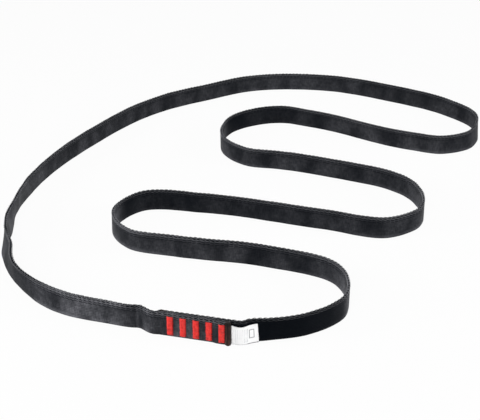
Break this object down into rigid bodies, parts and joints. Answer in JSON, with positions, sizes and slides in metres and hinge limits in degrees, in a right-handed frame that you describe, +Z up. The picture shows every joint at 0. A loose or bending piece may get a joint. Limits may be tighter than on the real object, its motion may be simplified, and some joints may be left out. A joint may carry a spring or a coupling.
{
  "type": "anchor sling",
  "caption": "Endless loop of flat woven webbing closed by a bar-tacked lap, laid out in a serpentine on its edge, for rigging or clipping to an anchor point.",
  "frame": {"origin": "on the ground plane, below the centre of the sling's bounding box", "axes": "+Z up, across the webbing, which stands on its edge; +X to the right along the side with the splice; +Y away from the splice"},
  "size_m": [0.448, 0.582, 0.019],
  "materials": {
    "webbing_charcoal": "matt tight weave with corded selvedges",
    "thread_red": "satin sewing thread",
    "label_white": "smooth coated ribbon"
  },
  "bodies": {
    "sling": {"webbing": "webbing_charcoal", "label_tail": "label_white", "bar_tack_1_needle_thread": "thread_red", "bar_tack_1_bobbin_thread": "thread_red", "bar_tack_2_needle_thread": "thread_red", "bar_tack_2_bobbin_thread": "thread_red", "bar_tack_3_needle_thread": "thread_red", "bar_tack_3_bobbin_thread": "thread_red", "bar_tack_4_needle_thread": "thread_red", "bar_tack_4_bobbin_thread": "thread_red", "bar_tack_5_needle_thread": "thread_red", "bar_tack_5_bobbin_thread": "thread_red"},
    "label": {"label_flap": "label_white"}
  },
  "joints": [
    {"name": "label_fold", "type": "hinge", "parent": "sling", "child": "label", "pos_m": [-0.02929, -0.2889, 0.0079], "axis": [0, 0, -1], "range_deg": [0, 90]}
  ]
}
